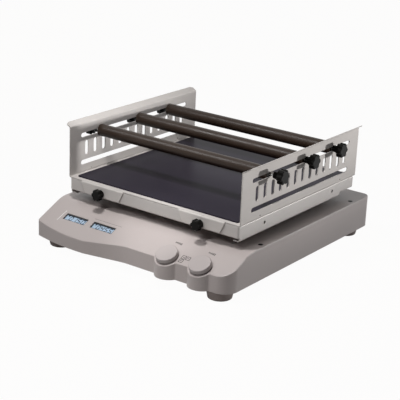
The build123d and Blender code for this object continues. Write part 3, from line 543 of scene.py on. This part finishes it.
# One finish for each material slot of the record
FINISHES = {
    # The pale edge colour of the housing is a painted highlight along its edges
    "housing": make_finish(
        "housing_paint", (0.475, 0.420, 0.405, 1.0), "grain", 0.36, depth=0.00003, radius=0.0009, edge=0.7,
        painted_edge_colour=(0.78, 0.72, 0.70, 1.0), dust=0.08, dust_colour=(0.62, 0.57, 0.55, 1.0),
        Cloudiness=0.05, Grain_Per_Metre=1300.0,
    ),
    "control_knob": make_finish(
        "control_knob_plastic", (0.460, 0.410, 0.398, 1.0), "grain", 0.42, radius=0.0006, edge=0.3,
        Cloudiness=0.06, Grain_Per_Metre=1800.0,
    ),
    "black_steel": make_finish(
        "base_plate_coat", (0.018, 0.018, 0.020, 1.0), "grain", 0.55, depth=0.00005, edge=0.3,
        painted_edge_colour=(0.10, 0.10, 0.10, 1.0), Cloudiness=0.3, Grain_Per_Metre=900.0,
    ),
    "foot_rubber": make_finish(
        "foot_rubber", (0.270, 0.225, 0.210, 1.0), "grain", 0.72, depth=0.00006, radius=0.001, edge=0.3,
        dust=0.35, dust_colour=(0.30, 0.28, 0.26, 1.0), Cloudiness=0.35, Grain_Per_Metre=1100.0,
    ),
    "zinc_screw": make_finish(
        "zinc_plate", (0.55, 0.55, 0.53, 1.0), "brushing", 0.34, metallic=1.0, radius=0.0003,
        Streak=0.3, Streaks=(700.0, 700.0, 700.0),
    ),
    "black_plastic": make_finish(
        "black_plastic", (0.010, 0.009, 0.009, 1.0), "grain", 0.42, specular=0.05, depth=0.00003,
        radius=0.0004, painted_edge_colour=(0.04, 0.04, 0.04, 1.0), Cloudiness=0.3, Grain_Per_Metre=1600.0,
    ),
    "hard_shaft": make_finish(
        "ground_shaft", (0.68, 0.68, 0.69, 1.0), "brushing", 0.14, metallic=1.0, depth=0.000005,
        radius=0.0003, Streak=0.1, Streaks=(1500.0, 60.0, 60.0),
    ),
    "bare_aluminium": make_finish(
        "milled_aluminium", (0.66, 0.66, 0.67, 1.0), "brushing", 0.36, metallic=1.0, radius=0.0004,
        Streak=0.16, Streaks=(40.0, 1200.0, 1200.0),
    ),
    "machined_steel": make_finish(
        "machined_steel", (0.45, 0.45, 0.46, 1.0), "brushing", 0.33, metallic=1.0, radius=0.0004,
        Streak=0.2, Streaks=(1200.0, 40.0, 1200.0),
    ),
    # The dark edge colour of the tray is painted shade on its sheet edges
    "tray_steel": make_finish(
        "tray_steel", (0.49, 0.460, 0.440, 1.0), "brushing", 0.42, metallic=0.15, depth=0.000008,
        radius=0.0007, edge=0.5, painted_edge_colour=(0.20, 0.19, 0.18, 1.0),
        Streak=0.10, Streaks=(14.0, 14.0, 1100.0),
    ),
    # The dark edge colour of the side plates is painted shade on their cut sheet edges
    "stainless": make_finish(
        "stainless_sheet", (0.58, 0.545, 0.52, 1.0), "brushing", 0.46, metallic=0.05, specular=0.12,
        depth=0.000008, radius=0.0008, edge=0.6, painted_edge_colour=(0.16, 0.15, 0.14, 1.0),
        Streak=0.09, Streaks=(14.0, 14.0, 1100.0),
    ),
    # Near-black rubber; its faint violet tint is a painted reflection of blue glassware that stood on the
    # mat
    "mat_rubber": make_finish(
        "mat_rubber", (0.020, 0.016, 0.026, 1.0), "grain", 0.30, specular=0.03, depth=0.00001,
        radius=0.0002, edge=0.0, Cloudiness=0.05, Grain_Per_Metre=500.0,
    ),
    "motor_paint": make_finish(
        "motor_paint", (0.03, 0.03, 0.032, 1.0), "grain", 0.4, Cloudiness=0.2, Grain_Per_Metre=900.0,
    ),
    "white_plastic": make_finish(
        "roller_nylon", (0.78, 0.77, 0.72, 1.0), "grain", 0.4, Cloudiness=0.05, Grain_Per_Metre=900.0,
    ),
    "circuit_board": make_finish(
        "solder_mask", (0.02, 0.16, 0.06, 1.0), "grain", 0.3, radius=0.0003,
        Cloudiness=0.25, Grain_Per_Metre=300.0,
    ),
    "encoder_metal": make_finish(
        "encoder_plating", (0.55, 0.54, 0.50, 1.0), "brushing", 0.3, metallic=1.0, radius=0.0003,
        Streak=0.15, Streaks=(900.0, 900.0, 60.0),
    ),
    "rod_steel": make_finish(
        "bright_rod", (0.58, 0.58, 0.57, 1.0), "brushing", 0.25, metallic=1.0, radius=0.0003,
        Streak=0.2, Streaks=(900.0, 60.0, 60.0),
    ),
    "sleeve_rubber": make_finish(
        "bar_sleeve", (0.024, 0.014, 0.009, 1.0), "grain", 0.40, specular=0.2, depth=0.00003,
        radius=0.0008, edge=0.2, dust=0.02, Cloudiness=0.3, Grain_Per_Metre=700.0,
    ),
    "star_knob": make_finish(
        "star_knob_plastic", (0.0028, 0.0024, 0.002, 1.0), "grain", 0.28, specular=0.09, depth=0.00003,
        radius=0.0006, edge=0.3, painted_edge_colour=(0.02, 0.018, 0.016, 1.0),
        Cloudiness=0.3, Grain_Per_Metre=1500.0,
    ),
    "display": make_finish(
        "display_module", (0.05, 0.06, 0.07, 1.0), "grain", 0.3, Cloudiness=0.1, Grain_Per_Metre=800.0,
    ),
}

# The finishes of the dressing pieces
LCD_FACE = make_finish(
    "lcd_face", (0.41, 0.54, 0.68, 1.0), "grain", 0.30, coat=0.15, depth=0.000004, radius=0.0002,
    edge=0.1, Cloudiness=0.16, Grain_Per_Metre=120.0,
)
LCD_SEGMENT = make_finish(
    "lcd_segment", (0.004, 0.010, 0.035, 1.0), "grain", 0.35, radius=0.0001, edge=0.0,
    Cloudiness=0.1, Grain_Per_Metre=900.0,
)
BEZEL = make_finish(
    "bezel_black", (0.012, 0.011, 0.012, 1.0), "grain", 0.4, radius=0.0002, edge=0.2,
    Cloudiness=0.2, Grain_Per_Metre=1200.0,
)
PALE_INK = make_finish(
    "pale_ink", (0.84, 0.83, 0.81, 1.0), "grain", 0.4, radius=0.0001, edge=0.0,
    Cloudiness=0.05, Grain_Per_Metre=1500.0,
)
DARK_INK = make_finish(
    "dark_ink", (0.035, 0.030, 0.028, 1.0), "grain", 0.45, radius=0.0001, edge=0.0,
    Cloudiness=0.15, Grain_Per_Metre=1500.0,
)


def dress_nodes():
    """Give every carried-over solid the finish of its slot."""
    for row in frame["record"]["subparts"]:
        node = frame["nodes"][row["node"]]
        node.data.materials.clear()
        node.data.materials.append(FINISHES[row["material_slot"]])


# Dressing pieces


def panel_place(x, down, above):
    """A point of the sloping panel: x across, down from its upper edge, above its surface, all in mm."""
    y = PANEL_TOP_Y - down * math.cos(PANEL_ANGLE) - above * math.sin(PANEL_ANGLE)
    z = PANEL_TOP_Z - down * math.sin(PANEL_ANGLE) + above * math.cos(PANEL_ANGLE)
    return Vector((x, y, z)) * MM


def rounded_outline(length, height, radius):
    """Corners of a rounded rectangle about the origin, counter-clockwise."""
    outline = []
    for corner in range(4):
        sign_x = (1, -1, -1, 1)[corner]
        sign_y = (1, 1, -1, -1)[corner]
        for step in range(CORNER_STEPS + 1):
            angle = math.radians(90.0 * corner + 90.0 * step / CORNER_STEPS)
            x = sign_x * (length / 2 - radius) + radius * math.cos(angle)
            y = sign_y * (height / 2 - radius) + radius * math.sin(angle)
            outline.append((x, y))
    return outline


def prism(shape, outline, at, bottom, top, hole=None):
    """Add a prism to a bmesh; at(x, y, height) gives the place of a point. A hole makes a ring."""
    low = [shape.verts.new(at(x, y, bottom)) for x, y in outline]
    high = [shape.verts.new(at(x, y, top)) for x, y in outline]
    count = len(outline)
    sides = [(index, (index + 1) % count) for index in range(count)]
    for here, after in sides:
        shape.faces.new((low[here], low[after], high[after], high[here]))
    if hole is None:
        shape.faces.new(high)
        shape.faces.new(low[::-1])
        return
    low_hole = [shape.verts.new(at(x, y, bottom)) for x, y in hole]
    high_hole = [shape.verts.new(at(x, y, top)) for x, y in hole]
    for here, after in sides:
        shape.faces.new((low_hole[after], low_hole[here], high_hole[here], high_hole[after]))
        shape.faces.new((high[here], high[after], high_hole[after], high_hole[here]))
        shape.faces.new((low[after], low[here], low_hole[here], low_hole[after]))


def finish_piece(name, shape, material, body):
    """Turn a bmesh into a piece that rides on a body."""
    bmesh.ops.recalc_face_normals(shape, faces=shape.faces)
    mesh = bpy.data.meshes.new(name)
    shape.to_mesh(mesh)
    shape.free()
    mesh.materials.append(material)
    piece = bpy.data.objects.new(name, mesh)
    bpy.context.scene.collection.objects.link(piece)
    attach(piece, body)


# The lit bars of each digit: a is the top one, b to f follow it clockwise, and g is the middle one
SEGMENTS = {"0": "abcdef", "1": "bc", "4": "fgbc", "5": "afgcd"}


def segment_outlines(digit):
    """Outlines of the lit bars of a seven-segment digit, its lower left corner at the origin."""
    middle = DIGIT_HEIGHT / 2
    bars = {
        "a": (0, DIGIT_HEIGHT, DIGIT_WIDTH, DIGIT_HEIGHT),
        "b": (DIGIT_WIDTH, DIGIT_HEIGHT, DIGIT_WIDTH, middle),
        "c": (DIGIT_WIDTH, middle, DIGIT_WIDTH, 0),
        "d": (0, 0, DIGIT_WIDTH, 0),
        "e": (0, middle, 0, 0),
        "f": (0, DIGIT_HEIGHT, 0, middle),
        "g": (0, middle, DIGIT_WIDTH, middle),
    }
    outlines = []
    for letter in SEGMENTS[digit]:
        x0, y0, x1, y1 = bars[letter]
        along = Vector((x1 - x0, y1 - y0)).normalized()
        across = Vector((-along.y, along.x)) * SEGMENT_WIDTH / 2
        point = along * SEGMENT_WIDTH / 2
        start = Vector((x0, y0)) + along * SEGMENT_GAP
        end = Vector((x1, y1)) - along * SEGMENT_GAP
        outline = [
            start,
            start + point - across,
            end - point - across,
            end,
            end - point + across,
            start + point + across,
        ]
        outlines.append([(corner.x, corner.y) for corner in outline])
    return outlines


def make_displays():
    """Black bezel in each window, wider at the top and left as painted shade of the recess, a pale blue face
    behind it and four slanted digits.
    """
    for label, centre in WINDOW_X.items():

        def at(x, y, above, centre=centre):
            return panel_place(centre + x, WINDOW_DROP - y, above)

        outer = rounded_outline(
            WINDOW_LENGTH - BEZEL_CLEARANCE, WINDOW_HEIGHT - BEZEL_CLEARANCE, BEZEL_CORNER,
        )
        opening = rounded_outline(
            WINDOW_LENGTH - BEZEL_FRAME_LENGTH, WINDOW_HEIGHT - BEZEL_FRAME_HEIGHT, INNER_CORNER,
        )
        # The shifted opening widens the black frame at the top and left: painted shade
        shift_x, shift_y = OPENING_SHIFT_FOR_PAINTED_SHADE
        opening = [(x + shift_x, y + shift_y) for x, y in opening]
        bezel = bmesh.new()
        prism(bezel, outer, at, BEZEL_BOTTOM, BEZEL_TOP, hole=opening)
        finish_piece(f"{label}_bezel", bezel, BEZEL, "base")

        glass = rounded_outline(WINDOW_LENGTH - FACE_MARGIN, WINDOW_HEIGHT - FACE_MARGIN, INNER_CORNER)
        face = bmesh.new()
        prism(face, glass, at, FACE_BOTTOM, FACE_TOP)
        finish_piece(f"{label}_lcd_face", face, LCD_FACE, "base")

        digits = bmesh.new()
        foot = DIGIT_MIDDLE_Y - DIGIT_HEIGHT / 2
        for place, digit in enumerate(READINGS[label]):
            left = FIRST_DIGIT_X + DIGIT_PITCH * place
            for outline in segment_outlines(digit):
                slanted = [(left + x + DIGIT_SLANT * y, foot + y) for x, y in outline]
                prism(digits, slanted, at, SEGMENT_BOTTOM, SEGMENT_TOP)
        prism(digits, ARROW, at, SEGMENT_BOTTOM, SEGMENT_TOP)
        for left in UNIT_DASH_X:
            right = left + UNIT_DASH_WIDTH
            dash = [
                (left, UNIT_DASH_LOW),
                (right, UNIT_DASH_LOW),
                (right, UNIT_DASH_HIGH),
                (left, UNIT_DASH_HIGH),
            ]
            prism(digits, dash, at, SEGMENT_BOTTOM, SEGMENT_TOP)
        finish_piece(f"{label}_lcd_digits", digits, LCD_SEGMENT, "base")


def make_panel_marks():
    """Thin printed lines by the displays and plain ticks and boxes by the knobs."""

    def at(x, y, above):
        return panel_place(x, -y, above)

    def bar(shape, start, end, width):
        start = Vector(start)
        end = Vector(end)
        along = (end - start).normalized()
        across = Vector((-along.y, along.x)) * width / 2
        corners = [start - across, end - across, end + across, start + across]
        prism(shape, [(corner.x, corner.y) for corner in corners], at, PRINT_BOTTOM, PRINT_TOP)

    pale = bmesh.new()
    bar(pale, *PALE_LINE, PALE_LINE_WIDTH)
    finish_piece("pale_panel_line", pale, PALE_INK, "base")

    dark = bmesh.new()
    bar(dark, *DARK_LINE, DARK_LINE_WIDTH)
    for x in KNOB_X.values():
        for tick in range(TICKS):
            left = x + FIRST_TICK + TICK_PITCH * tick
            bar(dark, (left, TICK_TOP), (left, TICK_FOOT - TICK_GROWTH * tick), TICK_WIDTH)
    for x, top in BOX_PLACES:
        left = x - BOX_SIDE / 2
        right = x + BOX_SIDE / 2
        foot = top - BOX_SIDE
        corners = [(left, top), (right, top), (right, foot), (left, foot)]
        for start, end in zip(corners, corners[1:] + corners[:1]):
            bar(dark, start, end, BOX_LINE_WIDTH)
        middle = top - BOX_SIDE / 2
        dash_start = (x - BOX_DASH_LENGTH / 2, middle)
        dash_end = (x + BOX_DASH_LENGTH / 2, middle)
        bar(dark, dash_start, dash_end, BOX_DASH_WIDTH)
    finish_piece("dark_panel_marks", dark, DARK_INK, "base")


def make_rocker_marks():
    """The usual bar and ring of an on and off switch, on the two faces of the rocker."""
    face_slope = (ROCKER_END_RISE - ROCKER_MIDDLE_RISE) / ROCKER_HALF_HEIGHT
    shape = bmesh.new()

    def on_face(side):
        """The upper face has side 1 and the lower one -1; y is up from the middle of that face."""

        def at(x, y, above):
            up = side * ROCKER_HALF_HEIGHT / 2 + y
            out = ROCKER_MIDDLE_RISE + abs(up) * face_slope + above
            rear = ROCKER_PIVOT_Y + out * math.cos(ROCKER_TILT) + up * math.sin(ROCKER_TILT)
            height = ROCKER_PIVOT_Z - out * math.sin(ROCKER_TILT) + up * math.cos(ROCKER_TILT)
            return Vector((SWITCH_X - x, rear, height)) * MM

        return at

    bar = [
        (-ROCKER_BAR_HALF_WIDTH, -ROCKER_MARK_REACH),
        (ROCKER_BAR_HALF_WIDTH, -ROCKER_MARK_REACH),
        (ROCKER_BAR_HALF_WIDTH, ROCKER_MARK_REACH),
        (-ROCKER_BAR_HALF_WIDTH, ROCKER_MARK_REACH),
    ]
    prism(shape, bar, on_face(1), PRINT_BOTTOM, ROCKER_MARK_TOP)
    turns = [math.tau * step / ROCKER_RING_STEPS for step in range(ROCKER_RING_STEPS)]
    circle = [(math.cos(turn), math.sin(turn)) for turn in turns]
    ring = [(ROCKER_MARK_REACH * x, ROCKER_MARK_REACH * y) for x, y in circle]
    ring_hole = [(ROCKER_RING_HOLE * x, ROCKER_RING_HOLE * y) for x, y in circle]
    prism(shape, ring, on_face(-1), PRINT_BOTTOM, ROCKER_MARK_TOP, hole=ring_hole)
    finish_piece("rocker_marks", shape, PALE_INK, "power_button")


make_camera()
make_world()
make_floor()
make_lamps()

dress_nodes()
make_displays()
make_panel_marks()
make_rocker_marks()

view = bpy.context.scene.view_settings
view.view_transform = "Standard"
